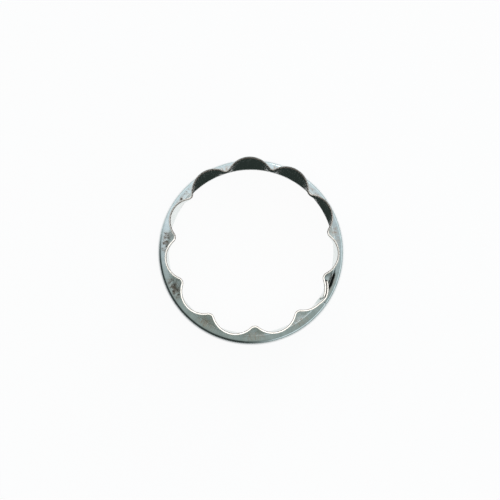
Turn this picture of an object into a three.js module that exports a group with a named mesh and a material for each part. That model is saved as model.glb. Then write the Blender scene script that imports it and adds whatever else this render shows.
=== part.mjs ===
import * as THREE from 'three';

// A fluted round cookie cutter, standing on its plain rim with the cutting edge up.
// One strip of tinplate is rolled into a ring, its ends are lapped and soldered, one edge is
// drawn into flutes and the other is flared out and turned under round a wire.
// Millimetres, +Z up, origin on the bench at the ring's axis.

// Strip
const SHEET = 0.7;
const HEIGHT = 22;
const WALL_DIAMETER = 63.8; // outside of the plain wall, just above the foot

// Flutes of the cutting edge
const FLUTE_COUNT = 11;
const FLUTE_DEPTH = 3.5; // from the crown of a lobe to the tip of a cusp
const LOBE_SPREAD = 0.4; // how far the crowns lean out past the plain wall
const CUSP_RADIUS = 1.9; // rounding of the inward tips, at the middle of the sheet
const FLUTE_FADE = 1.5; // how soon the flutes deepen above the foot, where 1 is in step with the height
const FLUTE_ROOT = 0.08; // share of the height over which they ease out of the plain wall
const OUT_OF_ROUND = 0.5; // added to the edge's radius at the front and back, taken off at the sides
const FIRST_CROWN_DEG = 18.3; // turn of the first crown from the front

// Foot and wired rim
const FOOT_BEND = 1; // bend out of the wall, at the middle of the sheet
const FLARE_DEG = 72; // turn of that bend
const FLARE_LENGTH = 2.02; // straight of the flare
const WIRE_DIAMETER = 0.6;
const WIRE_PLAY = 0.05; // room between the wire and the sheet turned under it
const WIRE_END_GAP = 0.4; // between the wire's two ends
const HEM_LENGTH = 1.2; // flat under the wire, on which the ring stands

// Lapped seam
const SEAM_DEG = 55; // turn of the strip's covered end from the front
const LAP_LENGTH = 5;
const JOGGLE_LENGTH = 3; // over which the outer end steps out to clear the covered one
const LAP_CLEAR = 4.2; // height at which the lap starts, above the foot
const BUTT_GAP = 0.2; // between the strip's ends along the foot
const SOLDER_FILM = 0.12; // room for solder between the lapped ends
const SOLDER_PLAY = 0.02; // between the solder and the sheet
const SOLDER_INSET = 0.4; // solder kept back from the edges of the lap
const SOLDER_HEEL = 0.1; // between the outer end's cut face and the fillet
const SOLDER_TOE = 0.9; // width of the fillet along the outer end
const SOLDER_FEATHER = 0.06; // thickness of the fillet at its toe

// Fineness of the facets
const LOBE_CELLS = 8;
const CUSP_CELLS = 4;
const WALL_CELLS = 3;
const BEND_CELLS = 4;
const CURL_CELLS = 6;
const WIRE_SIDES = 6;
const WIRE_STEPS = 110;

const TURN = 2 * Math.PI;
const PITCH = TURN / FLUTE_COUNT;
const WALL_MIDDLE = (WALL_DIAMETER - SHEET) / 2;
const CURL_MIDDLE = WIRE_DIAMETER / 2 + WIRE_PLAY + SHEET / 2;
const FLARE = THREE.MathUtils.degToRad(FLARE_DEG);
const FLARE_OUT = FLARE_LENGTH * Math.sin(FLARE);
const FLARE_DOWN = FLARE_LENGTH * Math.cos(FLARE);
const FLARE_END = WALL_MIDDLE + FOOT_BEND * (1 - Math.cos(FLARE)) + FLARE_OUT;
const WIRE_LINE = FLARE_END - CURL_MIDDLE * Math.cos(FLARE);
const WIRE_HEIGHT = SHEET / 2 + CURL_MIDDLE;
const BEND_TOP = WIRE_HEIGHT + (CURL_MIDDLE + FOOT_BEND) * Math.sin(FLARE) + FLARE_DOWN;
const FIRST_CROWN = THREE.MathUtils.degToRad(FIRST_CROWN_DEG);
const SEAM = THREE.MathUtils.degToRad(SEAM_DEG);

// Point of the ring at a turn from the front, towards +X.
function onRing(turn, radius, z) {
  return new THREE.Vector3(radius * Math.sin(turn), -radius * Math.cos(turn), z);
}

// Cutting edge: a round lobe and the rounded cusp beside it, as two arcs that meet without a kink.
const crownRadius = WALL_MIDDLE + LOBE_SPREAD;
const cuspCentre = crownRadius - FLUTE_DEPTH + CUSP_RADIUS;
const cuspAcross = cuspCentre * Math.sin(PITCH / 2);
const cuspInside = crownRadius - cuspCentre * Math.cos(PITCH / 2);
const lobeRadius =
  (cuspInside ** 2 + cuspAcross ** 2 - CUSP_RADIUS ** 2) / (2 * (cuspInside + CUSP_RADIUS));
const lobeCentre = crownRadius - lobeRadius;
const meetShare = lobeRadius / (lobeRadius + CUSP_RADIUS);
const meetTurn = Math.atan2(
  meetShare * cuspAcross,
  lobeCentre + meetShare * (crownRadius - cuspInside - lobeCentre),
);

// Radius of the cutting edge at the middle of the sheet.
function edgeRadius(turn) {
  return roundEdgeRadius(turn) + OUT_OF_ROUND * Math.cos(2 * turn);
}

function roundEdgeRadius(turn) {
  const fromCrown = turn - FIRST_CROWN - PITCH * Math.round((turn - FIRST_CROWN) / PITCH);
  const aside = Math.abs(fromCrown);
  if (aside <= meetTurn) {
    const across = lobeCentre * Math.sin(aside);
    return lobeCentre * Math.cos(aside) + Math.sqrt(lobeRadius ** 2 - across ** 2);
  }
  const across = cuspCentre * Math.sin(PITCH / 2 - aside);
  const along = cuspCentre * Math.cos(PITCH / 2 - aside);
  return along - Math.sqrt(Math.max(CUSP_RADIUS ** 2 - across ** 2, 0));
}

// Stations down the wall, from the cutting edge to the lower edge of the lap. The solder reaches
// from the second to the last but one.
function wallStations() {
  const heights = [HEIGHT];
  for (let i = 0; i <= WALL_CELLS; i++) {
    heights.push(THREE.MathUtils.lerp(HEIGHT - SOLDER_INSET, LAP_CLEAR + SOLDER_INSET, i / WALL_CELLS));
  }
  heights.push(LAP_CLEAR);
  return heights.map((z) => {
    const rise = (z - BEND_TOP) / (HEIGHT - BEND_TOP);
    const eased = (rise ** 2 * (1 + FLUTE_ROOT)) / (rise + FLUTE_ROOT);
    const flute = 1 - (1 - eased) ** FLUTE_FADE;
    return { r: WALL_MIDDLE, z, nr: 1, nz: 0, flute, step: 1 };
  });
}

// Stations along the strip's section, from the cutting edge down the wall, out along the flare and
// under the wire. Each has a place at the middle of the sheet, the direction of the sheet's outer side,
// the share of the flutes that it carries and the share of the lap's step that it takes.
function sectionStations() {
  const stations = wallStations();
  let r = WALL_MIDDLE;
  let z = BEND_TOP;
  let turned = 0;
  const mark = () => {
    stations.push({ r, z, nr: Math.cos(turned), nz: Math.sin(turned), flute: 0, step: 0 });
  };
  const straight = (length) => {
    r += length * Math.sin(turned);
    z -= length * Math.cos(turned);
    mark();
  };
  const bend = (radius, angle, cells) => {
    const side = Math.sign(angle) * radius;
    for (let i = 0; i < cells; i++) {
      const next = turned + angle / cells;
      r += side * (Math.cos(turned) - Math.cos(next));
      z -= side * (Math.sin(next) - Math.sin(turned));
      turned = next;
      mark();
    }
  };
  mark();
  bend(FOOT_BEND, FLARE, BEND_CELLS);
  straight(FLARE_LENGTH);
  bend(CURL_MIDDLE, -FLARE - Math.PI / 2, CURL_CELLS);
  straight(HEM_LENGTH);
  return stations;
}

// Turns at which the strip has a line of facets, between two turns and through the given ones.
function turnStations(from, to, through) {
  const turns = [from, ...through, to];
  const leastStep = PITCH / (4 * (LOBE_CELLS + CUSP_CELLS));
  const firstFlute = Math.floor((from - FIRST_CROWN) / PITCH) - 1;
  const lastFlute = Math.ceil((to - FIRST_CROWN) / PITCH) + 1;
  for (let flute = firstFlute; flute <= lastFlute; flute++) {
    const crown = FIRST_CROWN + flute * PITCH;
    for (let i = 0; i < LOBE_CELLS; i++) {
      turns.push(crown + meetTurn * ((2 * i) / LOBE_CELLS - 1));
    }
    for (let i = 0; i < CUSP_CELLS; i++) {
      turns.push(crown + THREE.MathUtils.lerp(meetTurn, PITCH - meetTurn, i / CUSP_CELLS));
    }
  }
  const kept = [from, ...through, to];
  for (const turn of turns) {
    const inside = turn > from && turn < to;
    if (inside && kept.every((other) => Math.abs(other - turn) > leastStep)) {
      kept.push(turn);
    }
  }
  return kept.sort((a, b) => a - b);
}

// Place on the strip, at a distance from the middle of the sheet towards its outer side.
function onStrip(station, turn, distance) {
  const probe = 1e-4;
  const radius = station.r + station.flute * (edgeRadius(turn) - WALL_MIDDLE);
  const slope = (station.flute * (edgeRadius(turn + probe) - edgeRadius(turn - probe))) / (2 * probe);
  const point = onRing(turn, radius, station.z);
  const outwards = onRing(turn, 1, 0);
  const alongRing = onRing(turn + Math.PI / 2, 1, 0);
  const normal = outwards.multiplyScalar(radius).addScaledVector(alongRing, -slope).normalize();
  normal.multiplyScalar(station.nr).setZ(station.nz);
  return point.addScaledVector(normal, distance);
}

// Closed solid between two sides of a sheet, given on a grid of rows and columns. Cells for which
// inSheet says no are left out, and the solid gets a wall along each free edge.
function sheetSolid(rows, columns, innerAt, outerAt, inSheet) {
  const positions = [];
  const index = [];
  const numbers = new Map();
  const number = (side, row, column) => {
    const key = `${side} ${row} ${column}`;
    if (!numbers.has(key)) {
      const point = side === 'outer' ? outerAt(row, column) : innerAt(row, column);
      numbers.set(key, positions.length / 3);
      positions.push(point.x, point.y, point.z);
    }
    return numbers.get(key);
  };
  const quad = (a, b, c, d) => index.push(a, b, c, a, c, d);
  const filled = (row, column) =>
    row >= 0 && row < rows && column >= 0 && column < columns && inSheet(row, column);
  for (let row = 0; row < rows; row++) {
    for (let column = 0; column < columns; column++) {
      if (!filled(row, column)) continue;
      const corners = [[row, column], [row + 1, column], [row + 1, column + 1], [row, column + 1]];
      const outer = corners.map(([r, c]) => number('outer', r, c));
      const inner = corners.map(([r, c]) => number('inner', r, c));
      quad(outer[0], outer[1], outer[2], outer[3]);
      quad(inner[0], inner[3], inner[2], inner[1]);
      const neighbours = [[row, column - 1], [row + 1, column], [row, column + 1], [row - 1, column]];
      neighbours.forEach(([r, c], side) => {
        const next = (side + 1) % 4;
        if (!filled(r, c)) quad(outer[side], inner[side], inner[next], outer[next]);
      });
    }
  }
  const geometry = new THREE.BufferGeometry();
  geometry.setAttribute('position', new THREE.Float32BufferAttribute(positions, 3));
  geometry.setIndex(index);
  geometry.computeVertexNormals();
  return geometry;
}

// Turns of the seam, from the covered end to the toe of the solder fillet.
const onWall = (length) => length / WALL_MIDDLE;
const filmStart = SEAM + onWall(SOLDER_INSET);
const tongueEnd = SEAM + onWall(LAP_LENGTH);
const heel = tongueEnd + onWall(SOLDER_HEEL);
const crest = heel + onWall(SOLDER_HEEL);
const toe = crest + onWall(SOLDER_TOE);
const fillet = [heel, crest, (2 * crest + toe) / 3, (crest + 2 * toe) / 3, toe];
const footEnd = SEAM + TURN - onWall(BUTT_GAP);
const joggleStart = footEnd - onWall(JOGGLE_LENGTH);
const lapStep = SHEET + SOLDER_FILM;
const stripTurns = turnStations(SEAM, TURN + tongueEnd, [
  filmStart,
  tongueEnd,
  ...fillet,
  joggleStart,
  footEnd,
  TURN + SEAM,
  TURN + filmStart,
]);

// The strip: it runs once round from its covered end, steps out over the joggle and laps that end.
function flutedBandGeometry() {
  const stations = sectionStations();
  const stepAt = (turn) => {
    const share = (turn - joggleStart) / (footEnd - joggleStart);
    return lapStep * THREE.MathUtils.clamp(share, 0, 1);
  };
  const side = (half) => (row, column) => {
    const station = stations[row];
    const turn = stripTurns[column];
    return onStrip(station, turn, half + station.step * stepAt(turn));
  };
  const lapRows = wallStations().length - 1;
  const inSheet = (row, column) => row < lapRows || stripTurns[column] < footEnd;
  const cells = [stations.length - 1, stripTurns.length - 1];
  return sheetSolid(...cells, side(-SHEET / 2), side(SHEET / 2), inSheet);
}

// Solder: a film between the lapped ends, and a hollow fillet that runs out along the outer end.
function solderGeometry() {
  const columns = stripTurns.filter((turn) => turn >= filmStart && turn <= toe);
  const film = SHEET / 2 + SOLDER_FILM - SOLDER_PLAY;
  const top = SHEET / 2 + lapStep;
  const feather = SHEET / 2 + SOLDER_PLAY + SOLDER_FEATHER;
  const topAt = (turn) => {
    if (turn < crest) return film;
    const share = (turn - crest) / (toe - crest);
    return feather + (top - feather) * (1 - share) ** 2;
  };
  const stations = wallStations().slice(1, -1);
  const innerAt = (row, column) => onStrip(stations[row], columns[column], SHEET / 2 + SOLDER_PLAY);
  const outerAt = (row, column) => onStrip(stations[row], columns[column], topAt(columns[column]));
  return sheetSolid(WALL_CELLS, columns.length - 1, innerAt, outerAt, () => true);
}

// Centre line of the rim wire, open by a small gap opposite the seam.
class RimLine extends THREE.Curve {
  getPoint(share, target = new THREE.Vector3()) {
    const gap = WIRE_END_GAP / WIRE_LINE;
    const turn = SEAM + Math.PI + THREE.MathUtils.lerp(gap / 2, TURN - gap / 2, share);
    return target.copy(onRing(turn, WIRE_LINE, WIRE_HEIGHT));
  }
}

function rimWireGeometry() {
  const section = new THREE.Shape();
  for (let i = 0; i < WIRE_SIDES; i++) {
    const angle = (TURN * i) / WIRE_SIDES;
    const x = (WIRE_DIAMETER / 2) * Math.cos(angle);
    const y = (WIRE_DIAMETER / 2) * Math.sin(angle);
    if (i === 0) section.moveTo(x, y);
    else section.lineTo(x, y);
  }
  section.closePath();
  return new THREE.ExtrudeGeometry(section, {
    steps: WIRE_STEPS,
    extrudePath: new RimLine(),
    bevelEnabled: false,
  });
}

const tinplate = new THREE.MeshStandardMaterial({ color: 0xb4bdc0, roughness: 0.22, metalness: 1 });
const steelWire = new THREE.MeshStandardMaterial({ color: 0x8d9193, roughness: 0.4, metalness: 1 });
const softSolder = new THREE.MeshStandardMaterial({ color: 0x9a9f9f, roughness: 0.45, metalness: 1 });

function addPiece(group, name, geometry, material) {
  const piece = new THREE.Mesh(geometry, material);
  piece.name = name;
  group.add(piece);
}

const cutter = new THREE.Group();
addPiece(cutter, 'fluted_band', flutedBandGeometry(), tinplate);
addPiece(cutter, 'rim_wire', rimWireGeometry(), steelWire);
addPiece(cutter, 'seam_solder', solderGeometry(), softSolder);

export default cutter;
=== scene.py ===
"""Looks of a round fluted cookie cutter of bright tinplate, standing on its rim, edge up."""

import math

import bpy
from mathutils import Matrix, Vector


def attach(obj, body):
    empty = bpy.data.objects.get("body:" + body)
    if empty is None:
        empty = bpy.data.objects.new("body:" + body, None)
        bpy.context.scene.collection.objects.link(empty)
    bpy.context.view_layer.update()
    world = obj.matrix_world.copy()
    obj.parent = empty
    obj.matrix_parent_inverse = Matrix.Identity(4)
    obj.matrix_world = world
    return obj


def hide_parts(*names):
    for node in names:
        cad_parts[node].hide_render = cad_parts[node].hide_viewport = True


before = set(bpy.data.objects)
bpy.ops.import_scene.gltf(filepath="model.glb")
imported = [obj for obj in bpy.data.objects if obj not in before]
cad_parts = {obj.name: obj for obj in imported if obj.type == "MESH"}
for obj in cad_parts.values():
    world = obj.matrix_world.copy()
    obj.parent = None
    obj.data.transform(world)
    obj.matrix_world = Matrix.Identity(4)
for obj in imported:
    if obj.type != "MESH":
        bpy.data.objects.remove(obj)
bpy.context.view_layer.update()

MM = 0.001
TURN = 2 * math.pi

# Strip and flutes, as in the part
SHEET = 0.7 * MM
HEIGHT = 22 * MM
WALL_DIAMETER = 63.8 * MM
FLUTE_COUNT = 11
FLUTE_DEPTH = 3.5 * MM
LOBE_SPREAD = 0.4 * MM
CUSP_RADIUS = 1.9 * MM
OUT_OF_ROUND = 0.5 * MM
FLUTE_FADE = 1.5
FLUTE_ROOT = 0.08  # share of the wall's height over which a flute eases out of the foot
FIRST_CROWN = math.radians(18.3)

# Foot and wired rim
FOOT_BEND = 1 * MM
FLARE = math.radians(72)
FLARE_LENGTH = 2.02 * MM
WIRE_DIAMETER = 0.6 * MM
WIRE_PLAY = 0.05 * MM
HEM_LENGTH = 1.2 * MM

# Lapped seam
SEAM = math.radians(55)
LAP_LENGTH = 5 * MM
JOGGLE_LENGTH = 3 * MM
LAP_CLEAR = 4.2 * MM
BUTT_GAP = 0.2 * MM
SOLDER_FILM = 0.12 * MM
SOLDER_PLAY = 0.02 * MM
SOLDER_INSET = 0.4 * MM
SOLDER_TOE = 0.9 * MM
SOLDER_FEATHER = 0.03 * MM
EDGE_ROUND = 0.17 * MM

PITCH = TURN / FLUTE_COUNT
WALL_MIDDLE = (WALL_DIAMETER - SHEET) / 2
CURL_MIDDLE = WIRE_DIAMETER / 2 + WIRE_PLAY + SHEET / 2
WIRE_HEIGHT = SHEET / 2 + CURL_MIDDLE
BEND_TOP = (WIRE_HEIGHT + (CURL_MIDDLE + FOOT_BEND) * math.sin(FLARE)
            + FLARE_LENGTH * math.cos(FLARE))

# Marks of use, and painted shadow and dark reflection, on the strip, in mm along it and down
# from the cutting edge. A pair runs from where a mark is faintest to where it is strongest.
EDGE_WEAR = (0.4, 0.15)
STAINS_DOWN = (6, 17)
STAINS_UP = (22, 21)
ROLL_SHADOW = (21.7, 22.1)
DARK_REFLECTION_PLACE = (math.radians(69) * WALL_MIDDLE / MM, 20.2, 0)
DARK_REFLECTION_SIZE = (4.5, 0.8, 1)

# Marks in space: the left, where the hollows have dark spots, and the side and reach of the painted
# shadow on the roll
DARK_SPOTS_LEFT = (-20 * MM, -26 * MM)
SHADOW_TURN = math.radians(316)
SHADOW_REACH = (17 * MM, 27 * MM)

# Material slots of the band's cut faces and worn corners, after its tin
CUT, WORN = 1, 2
CORNER_SLOPES = (0.1, 0.96)  # upward share of the normal on a rounded corner of the edge
BEVEL_OVER = math.radians(60)
SMOOTH_UNDER = math.radians(40)

# Fineness of the meshes
WALL_ROWS = 28
ROOT_ROWS = 4
BEND_ROWS = 10
FLARE_ROWS = 2
CURL_ROWS = 14
FLUTE_COLUMNS = 36
FILLET_COLUMNS = 8
BEVEL_ROWS = 2
PROBE = 1e-4  # half the turn over which a slope is taken
ROUNDING = 1e-9  # how far a turn may be off its mark

# Camera, from the photograph's 500 x 500 pixels
IMAGE_SIDE = 500
CAMERA_TURN = math.radians(-10.3)
CAMERA_ELEVATION = math.radians(84.88)
CAMERA_DISTANCE = 0.38
CAMERA_NEAR = 0.01
FOCAL_PIXELS = 994.3
ORIGIN_PIXEL = (251.05, 251.53)
SENSOR = 36

# Light, with turns from the front and strengths as shares of white
KEY_TURN = math.radians(155)
WINDOW_TURN = math.radians(205)
DARK_TURN = math.radians(310)
ROOM_FAR, ROOM_WINDOW = 0.46, 1.03
ROOM_CORNER = 0.65
ROOM_OVERHEAD = 0.085
ROOM_LOW = 1.32

# Floor, and the cards on it: each from an inner to an outer radius
FLOOR_SIZE = 4
RIM_RADIUS = 35 * MM
SHADOW_WIDTH = 0.7 * MM
FLOOR_GLOW = 0.92
OPENING_GLOW = 0.95
INNER_CARD = (18 * MM, 31.2 * MM)
INNER_CARD_TURNS = (math.radians(108), math.radians(228))
OUTER_CARD = (RIM_RADIUS, 60 * MM)
CARD_HEIGHT = 0.05 * MM
CARD_COLUMNS = 96
CARD_ROWS = 2


# Shapes

def on_ring(turn, radius, z):
    """Point of the ring at a turn from the front, towards +X."""
    return Vector((radius * math.sin(turn), -radius * math.cos(turn), z))


def edge_radius(turn):
    """Radius of the cutting edge: round lobes and cusps, as arcs without a kink, a little oval."""
    crown = WALL_MIDDLE + LOBE_SPREAD
    cusp_centre = crown - FLUTE_DEPTH + CUSP_RADIUS
    cusp_across = cusp_centre * math.sin(PITCH / 2)
    cusp_inside = crown - cusp_centre * math.cos(PITCH / 2)
    reach = cusp_inside ** 2 + cusp_across ** 2 - CUSP_RADIUS ** 2
    lobe = reach / (2 * (cusp_inside + CUSP_RADIUS))
    lobe_centre = crown - lobe
    meet = lobe / (lobe + CUSP_RADIUS)
    meet_along = lobe_centre + meet * (crown - cusp_inside - lobe_centre)
    meet_turn = math.atan2(meet * cusp_across, meet_along)
    oval = OUT_OF_ROUND * math.cos(2 * turn)
    aside = abs((turn - FIRST_CROWN + PITCH / 2) % PITCH - PITCH / 2)
    if aside <= meet_turn:
        across = lobe_centre * math.sin(aside)
        return lobe_centre * math.cos(aside) + math.sqrt(lobe ** 2 - across ** 2) + oval
    across = cusp_centre * math.sin(PITCH / 2 - aside)
    along = cusp_centre * math.cos(PITCH / 2 - aside)
    return along - math.sqrt(max(CUSP_RADIUS ** 2 - across ** 2, 0)) + oval


def wall_station(z):
    """Station of the wall at a height.

    It holds the radius and height, the direction of the outer side, and the shares of the flutes
    and of the lap's step.
    """
    rise = (z - BEND_TOP) / (HEIGHT - BEND_TOP)
    eased = rise ** 2 * (1 + FLUTE_ROOT) / (rise + FLUTE_ROOT)
    return WALL_MIDDLE, z, 1, 0, 1 - (1 - eased) ** FLUTE_FADE, 1


def section_stations():
    """Stations of the strip's section: down the wall, out at the foot and round the wire."""
    stations = [wall_station(HEIGHT + (LAP_CLEAR - HEIGHT) * i / WALL_ROWS)
                for i in range(WALL_ROWS + 1)]
    for i in range(1, ROOT_ROWS):
        station = wall_station(LAP_CLEAR + (BEND_TOP - LAP_CLEAR) * i / ROOT_ROWS)
        stations.append(station[:-1] + (1 - i / ROOT_ROWS,))
    r, z, turned = WALL_MIDDLE, BEND_TOP, 0
    stations.append((r, z, 1, 0, 0, 0))
    # Each run of the foot: its length if straight, or the radius and turn of its bend, which are
    # below zero where it turns under, and its rows.
    runs = [(0, FOOT_BEND, FLARE, BEND_ROWS), (FLARE_LENGTH, 0, 0, FLARE_ROWS),
            (0, -CURL_MIDDLE, -FLARE - math.pi / 2, CURL_ROWS), (HEM_LENGTH, 0, 0, FLARE_ROWS)]
    for length, radius, angle, rows in runs:
        for _ in range(rows):
            after = turned + angle / rows
            straight = length / rows
            r += straight * math.sin(turned) + radius * (math.cos(turned) - math.cos(after))
            z -= straight * math.cos(turned) + radius * (math.sin(after) - math.sin(turned))
            turned = after
            stations.append((r, z, math.cos(turned), math.sin(turned), 0, 0))
    return stations


def on_strip(station, turn, distance):
    """Place on the strip, at a distance from the middle of the sheet towards its outer side."""
    r, z, nr, nz, flute, _ = station
    radius = r + flute * (edge_radius(turn) - WALL_MIDDLE)
    slope = flute * (edge_radius(turn + PROBE) - edge_radius(turn - PROBE)) / (2 * PROBE)
    normal = (on_ring(turn, radius, 0) - on_ring(turn + math.pi / 2, slope, 0)).normalized()
    return on_ring(turn, radius, z) + distance * (normal * nr + Vector((0, 0, nz)))


def spaced_turns(marks):
    """Turns between the marks and through them, about as many to a flute as the mesh is fine."""
    turns = [marks[0]]
    for start, end in zip(marks, marks[1:]):
        cells = max(1, round((end - start) / PITCH * FLUTE_COLUMNS))
        turns += [start + (end - start) * (i + 1) / cells for i in range(cells)]
    return turns


ON_WALL = 1 / WALL_MIDDLE
TONGUE_END = SEAM + TURN + LAP_LENGTH * ON_WALL
FOOT_END = SEAM + TURN - BUTT_GAP * ON_WALL
JOGGLE_START = FOOT_END - JOGGLE_LENGTH * ON_WALL
LAP_STEP = SHEET + SOLDER_FILM


def add_strip(name, rows, turns, place, length_at):
    """A grid of the rows and turns, rolled to its place, with the strip's own lengths as UV map."""
    bpy.ops.object.select_all(action='DESELECT')
    bpy.ops.mesh.primitive_grid_add(x_subdivisions=len(turns) - 1, y_subdivisions=rows - 1, size=1)
    strip = bpy.context.object
    strip.name = name
    uv = strip.data.uv_layers.active.data
    cell = {}
    for vertex in strip.data.vertices:
        column = round((vertex.co.x + 0.5) * (len(turns) - 1))
        row = round((0.5 - vertex.co.y) * (rows - 1))
        cell[vertex.index] = row, column
        vertex.co = place(row, turns[column])
    for loop in strip.data.loops:
        row, column = cell[loop.vertex_index]
        uv[loop.index].uv = turns[column] * WALL_MIDDLE / MM, length_at(row) / MM
    return strip, cell


def apply_modifier(piece, kind, **settings):
    modifier = piece.modifiers.new(kind.lower(), kind)
    for key, value in settings.items():
        setattr(modifier, key, value)
    bpy.ops.object.modifier_apply(modifier=modifier.name)


def fluted_band():
    """The tinplate strip: once round from its covered end, over the joggle, and over that end."""
    stations = section_stations()
    turns = spaced_turns([SEAM, JOGGLE_START, FOOT_END, SEAM + TURN, TONGUE_END])
    lengths = [0]
    for a, b in zip(stations, stations[1:]):
        lengths.append(lengths[-1] + math.hypot(b[0] - a[0], b[1] - a[1]))

    def place(row, turn):
        step = LAP_STEP * min(max((turn - JOGGLE_START) / (FOOT_END - JOGGLE_START), 0), 1)
        return on_strip(stations[row], turn, stations[row][-1] * step)

    band, cell = add_strip("bright_band", len(stations), turns, place, lambda row: lengths[row])
    # Below the lap the strip ends at the butt.
    end_column = min(i for i, turn in enumerate(turns) if turn >= FOOT_END - ROUNDING)
    bpy.ops.object.mode_set(mode='EDIT')
    bpy.ops.mesh.select_mode(type='FACE')
    bpy.ops.mesh.select_all(action='DESELECT')
    bpy.ops.object.mode_set(mode='OBJECT')
    for face in band.data.polygons:
        corners = [cell[v] for v in face.vertices]
        past_butt = min(column for row, column in corners) >= end_column
        face.select = past_butt and min(row for row, column in corners) >= WALL_ROWS
    bpy.ops.object.mode_set(mode='EDIT')
    bpy.ops.mesh.delete(type='FACE')
    bpy.ops.object.mode_set(mode='OBJECT')
    return band


def soft_solder():
    """The hollow fillet along the lap's end, where the solder was wiped."""
    heel = SEAM + LAP_LENGTH * ON_WALL
    toe = heel + SOLDER_TOE * ON_WALL
    turns = spaced_turns([heel + i * (toe - heel) / FILLET_COLUMNS
                          for i in range(FILLET_COLUMNS + 1)])
    rows = WALL_ROWS - 1
    film_top = HEIGHT - SOLDER_INSET
    film_foot = LAP_CLEAR + SOLDER_INSET

    def place(row, turn):
        station = wall_station(film_top + (film_foot - film_top) * row / (rows - 1))
        share = (turn - heel) / (toe - heel)
        top = SHEET / 2 + SOLDER_FEATHER + (LAP_STEP - SOLDER_FEATHER) * (1 - share) ** 2
        return on_strip(station, turn, top)

    row_height = (film_top - film_foot) / (rows - 1)
    return add_strip("solder_fillet", rows, turns, place, lambda row: row * row_height)[0]


# Materials

def linear(hex_code):
    """Linear colour of an sRGB hex value."""
    parts = [int(hex_code[i:i + 2], 16) / 255 for i in (1, 3, 5)]
    return [c / 12.92 if c <= 0.04045 else ((c + 0.055) / 1.055) ** 2.4 for c in parts] + [1]


def add_node(tree, kind, links=None, **settings):
    """A node with its settings; links maps input names or numbers to sockets or values."""
    node = tree.nodes.new(kind)
    for key, value in settings.items():
        setattr(node, key, value)
    for key, value in (links or {}).items():
        if isinstance(value, bpy.types.NodeSocket):
            tree.links.new(value, node.inputs[key])
        else:
            node.inputs[key].default_value = value
    return node


def new_material(name):
    material = bpy.data.materials.new(name)
    material.use_nodes = True
    material.node_tree.nodes.clear()
    return material, material.node_tree


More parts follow.
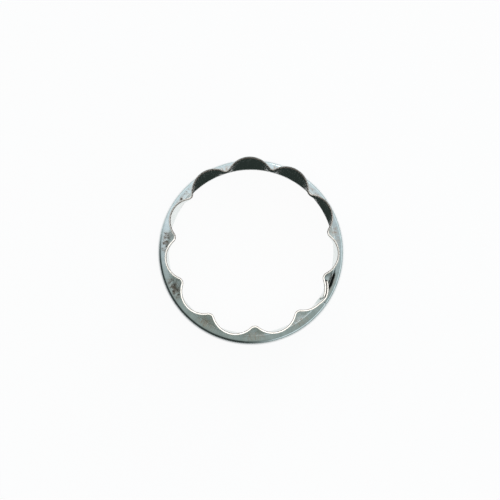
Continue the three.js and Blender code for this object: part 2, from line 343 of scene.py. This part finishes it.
def bright_tinplate():
    """Tinned sheet: clear but soft reflections, rolling lines, stains of use in the hollows, and
    painted shadow and a painted dark reflection near the foot.
    """
    material, tree = new_material("bright_tinplate")
    place = add_node(tree, 'ShaderNodeTexCoord')
    strip = add_node(tree, 'ShaderNodeSeparateXYZ', {0: place.outputs['UV']})
    down = strip.outputs['Y']

    # Rolling lines run round the ring. Real ones lie a few hundredths of a millimetre apart:
    # these are coarser, to show.
    rolled = add_node(tree, 'ShaderNodeMapping', {
        'Vector': place.outputs['UV'], 'Scale': (0.04, 3.2, 1)})
    lines = add_node(tree, 'ShaderNodeTexNoise', {
        'Vector': rolled.outputs[0], 'Scale': 1, 'Detail': 5, 'Roughness': 0.7,
    }, noise_dimensions='2D')

    # The fluting tool leaves streaks up and down the wall, and the sheet is never quite even
    # between its blows.
    drawn = add_node(tree, 'ShaderNodeMapping', {
        'Vector': place.outputs['UV'], 'Scale': (1.1, 0.07, 1)})
    streaks = add_node(tree, 'ShaderNodeTexNoise', {
        'Vector': drawn.outputs[0], 'Scale': 1, 'Detail': 3, 'Roughness': 0.6,
    }, noise_dimensions='2D')
    waves = add_node(tree, 'ShaderNodeTexNoise', {
        'Vector': place.outputs['UV'], 'Scale': 0.16, 'Detail': 2, 'Roughness': 0.4,
    }, noise_dimensions='2D')

    # The hollows between the lobes, below the cutting edge and above the rim
    phase = add_node(tree, 'ShaderNodeMath', {
        0: strip.outputs['X'], 1: FLUTE_COUNT / (WALL_MIDDLE / MM), 2: -FLUTE_COUNT * FIRST_CROWN,
    }, operation='MULTIPLY_ADD')
    crest = add_node(tree, 'ShaderNodeMath', {0: phase.outputs[0]}, operation='COSINE')
    hollow = add_node(tree, 'ShaderNodeMapRange', {
        'Value': crest.outputs[0], 'From Min': 0.1, 'From Max': -0.8,
    }, interpolation_type='SMOOTHSTEP')
    below_edge = add_node(tree, 'ShaderNodeMapRange', {
        'Value': down, 'From Min': STAINS_DOWN[0], 'From Max': STAINS_DOWN[1],
    }, interpolation_type='SMOOTHSTEP')
    above_rim = add_node(tree, 'ShaderNodeMapRange', {
        'Value': down, 'From Min': STAINS_UP[0], 'From Max': STAINS_UP[1],
        'To Max': below_edge.outputs[0]})
    in_hollows = add_node(tree, 'ShaderNodeMath', {
        0: hollow.outputs[0], 1: above_rim.outputs[0]}, operation='MULTIPLY')

    # Grease and dough have browned the tin there. On the left the hollows are darker still, in dark
    # brown spots.
    drips = add_node(tree, 'ShaderNodeMapping', {
        'Vector': place.outputs['UV'], 'Scale': (0.5, 0.15, 1)})
    clouds = add_node(tree, 'ShaderNodeTexNoise', {
        'Vector': drips.outputs[0], 'Scale': 1, 'Detail': 6, 'Roughness': 0.7,
    }, noise_dimensions='2D')
    washes = add_node(tree, 'ShaderNodeMapRange', {
        'Value': clouds.outputs[0], 'From Min': 0.4, 'From Max': 0.7})
    wash = add_node(tree, 'ShaderNodeMath', {
        0: in_hollows.outputs[0], 1: washes.outputs[0]}, operation='MULTIPLY')
    runs = add_node(tree, 'ShaderNodeMapping', {
        'Vector': place.outputs['UV'], 'Scale': (0.8, 0.42, 1)})
    mottle = add_node(tree, 'ShaderNodeTexNoise', {
        'Vector': runs.outputs[0], 'Scale': 1, 'Detail': 6, 'Roughness': 0.75,
    }, noise_dimensions='2D')
    rusty = add_node(tree, 'ShaderNodeMapRange', {
        'Value': mottle.outputs[0], 'From Min': 0.5, 'From Max': 0.62, 'To Max': 0.7})
    speck = add_node(tree, 'ShaderNodeMath', {
        0: in_hollows.outputs[0], 1: rusty.outputs[0]}, operation='MULTIPLY')
    across = add_node(tree, 'ShaderNodeSeparateXYZ', {0: place.outputs['Object']})
    left = add_node(tree, 'ShaderNodeMapRange', {
        'Value': across.outputs['X'], 'From Min': DARK_SPOTS_LEFT[0], 'From Max': DARK_SPOTS_LEFT[1]})
    gathered = add_node(tree, 'ShaderNodeMath', {
        0: in_hollows.outputs[0], 1: left.outputs[0]}, operation='MULTIPLY')
    spots = add_node(tree, 'ShaderNodeMapRange', {
        'Value': mottle.outputs[0], 'From Min': 0.45, 'From Max': 0.62})
    left_dark_spots = add_node(tree, 'ShaderNodeMath', {
        0: gathered.outputs[0], 1: spots.outputs[0]}, operation='MULTIPLY')

    # Painted dark reflection: a ragged, near-black patch on the foot beside the soldered seam.
    from_dark_reflection = add_node(tree, 'ShaderNodeVectorMath', {
        0: place.outputs['UV'], 1: DARK_REFLECTION_PLACE}, operation='SUBTRACT')
    in_dark_reflection = add_node(tree, 'ShaderNodeVectorMath', {
        0: from_dark_reflection.outputs[0], 1: DARK_REFLECTION_SIZE}, operation='DIVIDE')
    dark_reflection_reach = add_node(tree, 'ShaderNodeVectorMath', {
        0: in_dark_reflection.outputs[0]}, operation='LENGTH')
    ragged = add_node(tree, 'ShaderNodeMath', {
        0: mottle.outputs[0], 1: 1.1, 2: dark_reflection_reach.outputs['Value']}, operation='MULTIPLY_ADD')
    painted_dark_reflection = add_node(tree, 'ShaderNodeMapRange', {
        'Value': ragged.outputs[0], 'From Min': 1.7, 'From Max': 1.25})

    # Painted shadow: the roll is darkened at the front and on the left, where the rim's shadow
    # falls on the floor beside it.
    rolled_under = add_node(tree, 'ShaderNodeMapRange', {
        'Value': down, 'From Min': ROLL_SHADOW[0], 'From Max': ROLL_SHADOW[1],
    }, interpolation_type='SMOOTHSTEP')
    shadow_side = add_node(tree, 'ShaderNodeVectorMath', {
        0: place.outputs['Object'], 1: on_ring(SHADOW_TURN, 1, 0)}, operation='DOT_PRODUCT')
    in_shadow = add_node(tree, 'ShaderNodeMapRange', {
        'Value': shadow_side.outputs['Value'], 'From Min': SHADOW_REACH[0], 'From Max': SHADOW_REACH[1],
        'To Min': 0.1, 'To Max': 0.9})
    painted_roll_shadow = add_node(tree, 'ShaderNodeMath', {
        0: rolled_under.outputs[0], 1: in_shadow.outputs[0]}, operation='MULTIPLY')

    # Along the cutting edge the tin is worn to bare steel, which has darkened.
    worn = add_node(tree, 'ShaderNodeMapRange', {
        'Value': down, 'From Min': EDGE_WEAR[0], 'From Max': EDGE_WEAR[1],
    }, interpolation_type='SMOOTHSTEP')

    # The tin's own colour in faint patches, and each mark laid over those before it, painted shadow
    # and dark reflection among them
    patches = add_node(tree, 'ShaderNodeMapRange', {
        'Value': clouds.outputs[0], 'From Min': 0.35, 'From Max': 0.65})
    colour = add_node(tree, 'ShaderNodeMix', {
        0: patches.outputs[0], 6: linear("#DCE5E3"), 7: linear("#CBD5D2")}, data_type='RGBA')
    for mark, hex_code in ((wash, "#DFD8CE"), (speck, "#BBA08C"), (left_dark_spots, "#5D5145"),
                           (painted_dark_reflection, "#232220"), (painted_roll_shadow, "#3A4240"), (worn, "#5E544A")):
        colour = add_node(tree, 'ShaderNodeMix', {
            0: mark.outputs[0], 6: colour.outputs[2], 7: linear(hex_code)}, data_type='RGBA')

    satin = add_node(tree, 'ShaderNodeMapRange', {
        'Value': lines.outputs[0], 'From Min': 0.3, 'From Max': 0.7,
        'To Min': 0.14, 'To Max': 0.22})
    dulled = add_node(tree, 'ShaderNodeMath', {
        0: left_dark_spots.outputs[0], 1: 0.2, 2: satin.outputs[0]}, operation='MULTIPLY_ADD')

    wavy = add_node(tree, 'ShaderNodeBump', {
        'Height': waves.outputs[0], 'Strength': 1, 'Distance': 0.05 * MM})
    streaked = add_node(tree, 'ShaderNodeBump', {
        'Height': streaks.outputs[0], 'Strength': 1, 'Distance': 0.012 * MM,
        'Normal': wavy.outputs[0]})
    lined = add_node(tree, 'ShaderNodeBump', {
        'Height': lines.outputs[0], 'Strength': 1, 'Distance': 0.003 * MM,
        'Normal': streaked.outputs[0]})
    shader = add_node(tree, 'ShaderNodeBsdfPrincipled', {
        'Base Color': colour.outputs[2], 'Metallic': 1, 'Roughness': dulled.outputs[0],
        'Normal': lined.outputs[0]})
    add_node(tree, 'ShaderNodeOutputMaterial', {'Surface': shader.outputs['BSDF']})
    return material


def sheared_edge():
    """The cut edge: bright and flat from the shears, a little warmer and duller in its nicks."""
    material, tree = new_material("sheared_edge")
    place = add_node(tree, 'ShaderNodeTexCoord')
    nicks = add_node(tree, 'ShaderNodeTexNoise', {
        'Vector': place.outputs['Object'], 'Scale': 900, 'Detail': 3, 'Roughness': 0.6})
    tone = add_node(tree, 'ShaderNodeMix', {
        0: nicks.outputs[0], 6: linear("#E8E6E2"), 7: linear("#D2CCC2")}, data_type='RGBA')
    roughness = add_node(tree, 'ShaderNodeMapRange', {
        'Value': nicks.outputs[0], 'From Min': 0.3, 'From Max': 0.7,
        'To Min': 0.15, 'To Max': 0.24})
    bumped = add_node(tree, 'ShaderNodeBump', {
        'Height': nicks.outputs[0], 'Strength': 1, 'Distance': 0.003 * MM})
    shader = add_node(tree, 'ShaderNodeBsdfPrincipled', {
        'Base Color': tone.outputs[2], 'Metallic': 1, 'Roughness': roughness.outputs[0],
        'Normal': bumped.outputs[0]})
    add_node(tree, 'ShaderNodeOutputMaterial', {'Surface': shader.outputs['BSDF']})
    return material


def worn_corner():
    """The inner corner of the edge, worn to steel: a thin brown line beside the bright cut."""
    material, tree = new_material("worn_corner")
    place = add_node(tree, 'ShaderNodeTexCoord')
    wear = add_node(tree, 'ShaderNodeTexNoise', {
        'Vector': place.outputs['Object'], 'Scale': 500, 'Detail': 4, 'Roughness': 0.6})
    bare = add_node(tree, 'ShaderNodeMapRange', {
        'Value': wear.outputs[0], 'From Min': 0.35, 'From Max': 0.65})
    tone = add_node(tree, 'ShaderNodeMix', {
        0: bare.outputs[0], 6: linear("#6B5C52"), 7: linear("#4D4139")}, data_type='RGBA')
    roughness = add_node(tree, 'ShaderNodeMapRange', {
        'Value': wear.outputs[0], 'To Min': 0.35, 'To Max': 0.6})
    shader = add_node(tree, 'ShaderNodeBsdfPrincipled', {
        'Base Color': tone.outputs[2], 'Metallic': 1, 'Roughness': roughness.outputs[0]})
    add_node(tree, 'ShaderNodeOutputMaterial', {'Surface': shader.outputs['BSDF']})
    return material


def dull_solder():
    """Soft solder, wiped while hot: grey and lumpy, with a brown film of flux in its dips."""
    material, tree = new_material("dull_solder")
    place = add_node(tree, 'ShaderNodeTexCoord')
    lumps = add_node(tree, 'ShaderNodeTexNoise', {
        'Vector': place.outputs['Object'], 'Scale': 900, 'Detail': 3, 'Roughness': 0.55})
    grains = add_node(tree, 'ShaderNodeTexNoise', {
        'Vector': place.outputs['Object'], 'Scale': 6000, 'Detail': 2, 'Roughness': 0.5})
    flux = add_node(tree, 'ShaderNodeMapRange', {
        'Value': lumps.outputs[0], 'From Min': 0.46, 'From Max': 0.3})
    tone = add_node(tree, 'ShaderNodeMix', {
        0: flux.outputs[0], 6: linear("#C3C7C6"), 7: linear("#8A7C6A")}, data_type='RGBA')
    roughness = add_node(tree, 'ShaderNodeMapRange', {
        'Value': grains.outputs[0], 'From Min': 0.3, 'From Max': 0.7,
        'To Min': 0.3, 'To Max': 0.5})
    lumpy = add_node(tree, 'ShaderNodeBump', {
        'Height': lumps.outputs[0], 'Strength': 1, 'Distance': 0.15 * MM})
    shader = add_node(tree, 'ShaderNodeBsdfPrincipled', {
        'Base Color': tone.outputs[2], 'Metallic': 1, 'Roughness': roughness.outputs[0],
        'Normal': lumpy.outputs[0]})
    add_node(tree, 'ShaderNodeOutputMaterial', {'Surface': shader.outputs['BSDF']})
    return material


def drawn_wire():
    """Plain steel wire, grey from the draw plate, with brown specks from the damp in the rim."""
    material, tree = new_material("drawn_wire")
    place = add_node(tree, 'ShaderNodeTexCoord')
    specks = add_node(tree, 'ShaderNodeTexNoise', {
        'Vector': place.outputs['Object'], 'Scale': 1500, 'Detail': 4, 'Roughness': 0.6})
    brown = add_node(tree, 'ShaderNodeMapRange', {
        'Value': specks.outputs[0], 'From Min': 0.55, 'From Max': 0.7})
    tone = add_node(tree, 'ShaderNodeMix', {
        0: brown.outputs[0], 6: linear("#A3A6A7"), 7: linear("#7A6250")}, data_type='RGBA')
    roughness = add_node(tree, 'ShaderNodeMapRange', {
        'Value': specks.outputs[0], 'To Min': 0.3, 'To Max': 0.6})
    shader = add_node(tree, 'ShaderNodeBsdfPrincipled', {
        'Base Color': tone.outputs[2], 'Metallic': 1, 'Roughness': roughness.outputs[0]})
    add_node(tree, 'ShaderNodeOutputMaterial', {'Surface': shader.outputs['BSDF']})
    return material


# Pieces

band = fluted_band()
for finish in (bright_tinplate(), sheared_edge(), worn_corner()):
    band.data.materials.append(finish)
apply_modifier(band, 'SOLIDIFY', thickness=SHEET, offset=0, material_offset_rim=CUT)
apply_modifier(band, 'BEVEL', width=EDGE_ROUND, segments=BEVEL_ROWS, limit_method='ANGLE',
               angle_limit=BEVEL_OVER, use_clamp_overlap=False)
for face in band.data.polygons:
    on_corner = CORNER_SLOPES[0] < face.normal.z < CORNER_SLOPES[1]
    if on_corner and face.center.z > HEIGHT - 2 * EDGE_ROUND:
        faces_in = face.normal.xy.dot(face.center.xy) < 0
        face.material_index = WORN if faces_in else CUT
bpy.ops.object.shade_smooth_by_angle(angle=SMOOTH_UNDER)
for face in band.data.polygons:
    if face.material_index == CUT:
        face.use_smooth = False
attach(band, "root")
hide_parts("fluted_band")

solder = soft_solder()
solder.data.materials.append(dull_solder())
apply_modifier(solder, 'SOLIDIFY', thickness=SOLDER_FEATHER - SOLDER_PLAY, offset=-1)
bpy.ops.object.shade_smooth_by_angle(angle=SMOOTH_UNDER)
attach(solder, "root")
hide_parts("seam_solder")

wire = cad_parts["rim_wire"]
wire.data.materials.clear()
wire.data.materials.append(drawn_wire())

# Floor, light and camera

bpy.context.scene.view_settings.view_transform = 'Standard'


def white_floor():
    """Paper that looks white to the eye and in reflections, and keeps the shadow under the rim."""
    material, tree = new_material("white_floor")
    path = add_node(tree, 'ShaderNodeLightPath')
    seen = add_node(tree, 'ShaderNodeMath', {
        0: path.outputs['Is Camera Ray'], 1: path.outputs['Is Glossy Ray']}, operation='ADD')
    shown = add_node(tree, 'ShaderNodeMath', {
        0: seen.outputs[0], 1: path.outputs['Is Transmission Ray']}, operation='ADD')
    place = add_node(tree, 'ShaderNodeTexCoord')
    away = add_node(tree, 'ShaderNodeVectorMath', {
        0: place.outputs['Object']}, operation='LENGTH')
    outside = add_node(tree, 'ShaderNodeMapRange', {
        'Value': away.outputs['Value'], 'From Min': RIM_RADIUS,
        'From Max': RIM_RADIUS + SHADOW_WIDTH, 'To Min': 0, 'To Max': FLOOR_GLOW})
    inside = add_node(tree, 'ShaderNodeMath', {
        0: away.outputs['Value'], 1: WALL_MIDDLE}, operation='LESS_THAN')
    white = add_node(tree, 'ShaderNodeMath', {
        0: outside.outputs[0], 1: inside.outputs[0]}, operation='MAXIMUM')
    capped = add_node(tree, 'ShaderNodeMath', {
        0: white.outputs[0], 1: OPENING_GLOW}, operation='MINIMUM')
    share = add_node(tree, 'ShaderNodeMath', {
        0: shown.outputs[0], 1: capped.outputs[0]}, operation='MULTIPLY')
    paper = add_node(tree, 'ShaderNodeBsdfDiffuse', {'Color': linear("#FAFAFA")})
    glow = add_node(tree, 'ShaderNodeEmission', {'Color': linear("#FFFFFF"), 'Strength': 1})
    mix = add_node(tree, 'ShaderNodeMixShader', {
        0: share.outputs[0], 1: paper.outputs[0], 2: glow.outputs[0]})
    add_node(tree, 'ShaderNodeOutputMaterial', {'Surface': mix.outputs[0]})
    return material


bpy.ops.object.select_all(action='DESELECT')
bpy.ops.mesh.primitive_plane_add(size=FLOOR_SIZE)
floor = bpy.context.object
floor.name = "floor"
floor.data.materials.append(white_floor())


def studio_world():
    """A room for the metal to show: paler at the window, dim overhead, bright low down.

    One corner, at the front left, is dimmer, and nearly black low down. The camera sees white.
    """
    world = bpy.data.worlds.new("studio")
    world.use_nodes = True
    tree = world.node_tree
    tree.nodes.clear()
    direction = add_node(tree, 'ShaderNodeTexCoord')
    window_side = add_node(tree, 'ShaderNodeVectorMath', {
        0: direction.outputs['Generated'], 1: on_ring(WINDOW_TURN, 1, 0)}, operation='DOT_PRODUCT')
    strength = add_node(tree, 'ShaderNodeMapRange', {
        'Value': window_side.outputs['Value'], 'From Min': -0.6, 'From Max': 0.6,
        'To Min': ROOM_FAR, 'To Max': ROOM_WINDOW})
    dark_side = add_node(tree, 'ShaderNodeVectorMath', {
        0: direction.outputs['Generated'], 1: on_ring(DARK_TURN, 1, 0)}, operation='DOT_PRODUCT')
    corner = add_node(tree, 'ShaderNodeMapRange', {
        'Value': dark_side.outputs['Value'], 'From Min': 0.3, 'From Max': 0.6,
        'To Min': 1, 'To Max': ROOM_CORNER})
    sides = add_node(tree, 'ShaderNodeMath', {
        0: strength.outputs[0], 1: corner.outputs[0]}, operation='MULTIPLY')
    height = add_node(tree, 'ShaderNodeSeparateXYZ', {0: direction.outputs['Generated']})
    overhead = add_node(tree, 'ShaderNodeMapRange', {
        'Value': height.outputs['Z'], 'From Min': 0.85, 'From Max': 0.95})
    above = add_node(tree, 'ShaderNodeMix', {
        0: overhead.outputs[0], 2: sides.outputs[0], 3: ROOM_OVERHEAD})
    low = add_node(tree, 'ShaderNodeMapRange', {
        'Value': height.outputs['Z'], 'From Min': 0.62, 'From Max': 0.4})
    around = add_node(tree, 'ShaderNodeMix', {
        0: low.outputs[0], 2: above.outputs[0], 3: ROOM_LOW})
    beside = add_node(tree, 'ShaderNodeMapRange', {
        'Value': dark_side.outputs['Value'], 'From Min': 0.3, 'From Max': 0.7,
        'To Min': 0, 'To Max': 0.9})
    corner_low = add_node(tree, 'ShaderNodeMath', {
        0: low.outputs[0], 1: beside.outputs[0]}, operation='MULTIPLY')
    horizon = add_node(tree, 'ShaderNodeMix', {
        0: corner_low.outputs[0], 2: around.outputs[0], 3: 0})
    path = add_node(tree, 'ShaderNodeLightPath')
    shown = add_node(tree, 'ShaderNodeMix', {
        0: path.outputs['Is Camera Ray'], 2: horizon.outputs[0], 3: 1})
    cool = add_node(tree, 'ShaderNodeMapRange', {
        'Value': shown.outputs[0], 'From Min': 0.42, 'From Max': 0.72})
    tint = add_node(tree, 'ShaderNodeMix', {
        0: cool.outputs[0], 6: linear("#E6F3EE"), 7: linear("#EBF4FC")}, data_type='RGBA')
    plain = add_node(tree, 'ShaderNodeMix', {
        0: path.outputs['Is Camera Ray'], 6: tint.outputs[2], 7: linear("#FFFFFF"),
    }, data_type='RGBA')
    air = add_node(tree, 'ShaderNodeBackground', {
        'Color': plain.outputs[2], 'Strength': shown.outputs[0]})
    add_node(tree, 'ShaderNodeOutputWorld', {'Surface': air.outputs[0]})
    return world


bpy.context.scene.world = studio_world()


def seen_from(turn, elevation, distance):
    """Place at a turn from the front, an elevation and a distance from the origin."""
    return on_ring(turn, distance * math.cos(elevation), distance * math.sin(elevation))


def aim(thing, place):
    """Sets a lamp or camera at a place, facing the origin, with the ring's back upwards."""
    back = place.normalized()
    right = Vector((0, 1, 0)).cross(back).normalized()
    turn = Matrix((right, back.cross(right), back)).transposed()
    thing.matrix_world = Matrix.Translation(place) @ turn.to_4x4()


def add_lamp(name, turn, elevation, distance, size, watts):
    lamp = bpy.data.objects.new(name, bpy.data.lights.new(name, 'AREA'))
    bpy.context.collection.objects.link(lamp)
    lamp.data.shape = 'DISK'
    lamp.data.size = size
    lamp.data.energy = watts
    aim(lamp, seen_from(turn, elevation, distance))


add_lamp("key_lamp", turn=KEY_TURN, elevation=math.radians(15), distance=0.8, size=0.25, watts=1.2)
add_lamp("top_lamp", turn=0, elevation=math.radians(80), distance=0.7, size=0.42, watts=0.9)


def shade_card(name, radii, turns):
    """A part of a ring on the floor that only reflections see: a glowing card with the floor's
    shade and light painted on it, for the metal to show.
    """
    bpy.ops.object.select_all(action='DESELECT')
    bpy.ops.mesh.primitive_grid_add(x_subdivisions=CARD_COLUMNS, y_subdivisions=CARD_ROWS, size=1)
    card = bpy.context.object
    card.name = name
    for vertex in card.data.vertices:
        turn = turns[0] + (turns[1] - turns[0]) * (vertex.co.x + 0.5)
        radius = radii[0] + (radii[1] - radii[0]) * (vertex.co.y + 0.5)
        vertex.co = on_ring(turn, radius, CARD_HEIGHT)
    card.visible_camera = card.visible_diffuse = False
    card.visible_shadow = card.visible_transmission = False
    material, tree = new_material(name)
    card.data.materials.append(material)
    return tree


# Inside the ring, near the back wall, a dark card is a painted shadow on the floor, for the metal
# to reflect.
tree = shade_card("inner_shade", INNER_CARD, INNER_CARD_TURNS)
painted_shadow = add_node(tree, 'ShaderNodeEmission', {'Color': linear("#2E3532"), 'Strength': 1})
add_node(tree, 'ShaderNodeOutputMaterial', {'Surface': painted_shadow.outputs[0]})

# Outside it a glowing card paints the floor's shade and light: grey, and paler towards the window.
tree = shade_card("outer_shade", OUTER_CARD, (0, TURN))
place = add_node(tree, 'ShaderNodeTexCoord')
outwards = add_node(tree, 'ShaderNodeVectorMath', {
    0: place.outputs['Object']}, operation='NORMALIZE')
to_window = add_node(tree, 'ShaderNodeVectorMath', {
    0: outwards.outputs[0], 1: on_ring(WINDOW_TURN, 1, 0)}, operation='DOT_PRODUCT')
side = add_node(tree, 'ShaderNodeMapRange', {
    'Value': to_window.outputs['Value'], 'From Min': -1, 'From Max': 1})
painted_floor_tone = add_node(tree, 'ShaderNodeMix', {
    0: side.outputs[0], 6: linear("#A5B2B0"), 7: linear("#DAE5E8")}, data_type='RGBA')
glow = add_node(tree, 'ShaderNodeEmission', {'Color': painted_floor_tone.outputs[2], 'Strength': 1})
add_node(tree, 'ShaderNodeOutputMaterial', {'Surface': glow.outputs[0]})

camera = bpy.data.objects.new("camera", bpy.data.cameras.new("camera"))
bpy.context.collection.objects.link(camera)
camera.data.sensor_width = SENSOR
camera.data.lens = SENSOR * FOCAL_PIXELS / IMAGE_SIDE
camera.data.shift_x = (IMAGE_SIDE / 2 - ORIGIN_PIXEL[0]) / IMAGE_SIDE
camera.data.shift_y = (ORIGIN_PIXEL[1] - IMAGE_SIDE / 2) / IMAGE_SIDE
aim(camera, seen_from(CAMERA_TURN, CAMERA_ELEVATION, CAMERA_DISTANCE))
camera.data.clip_start = CAMERA_NEAR
bpy.context.scene.camera = camera
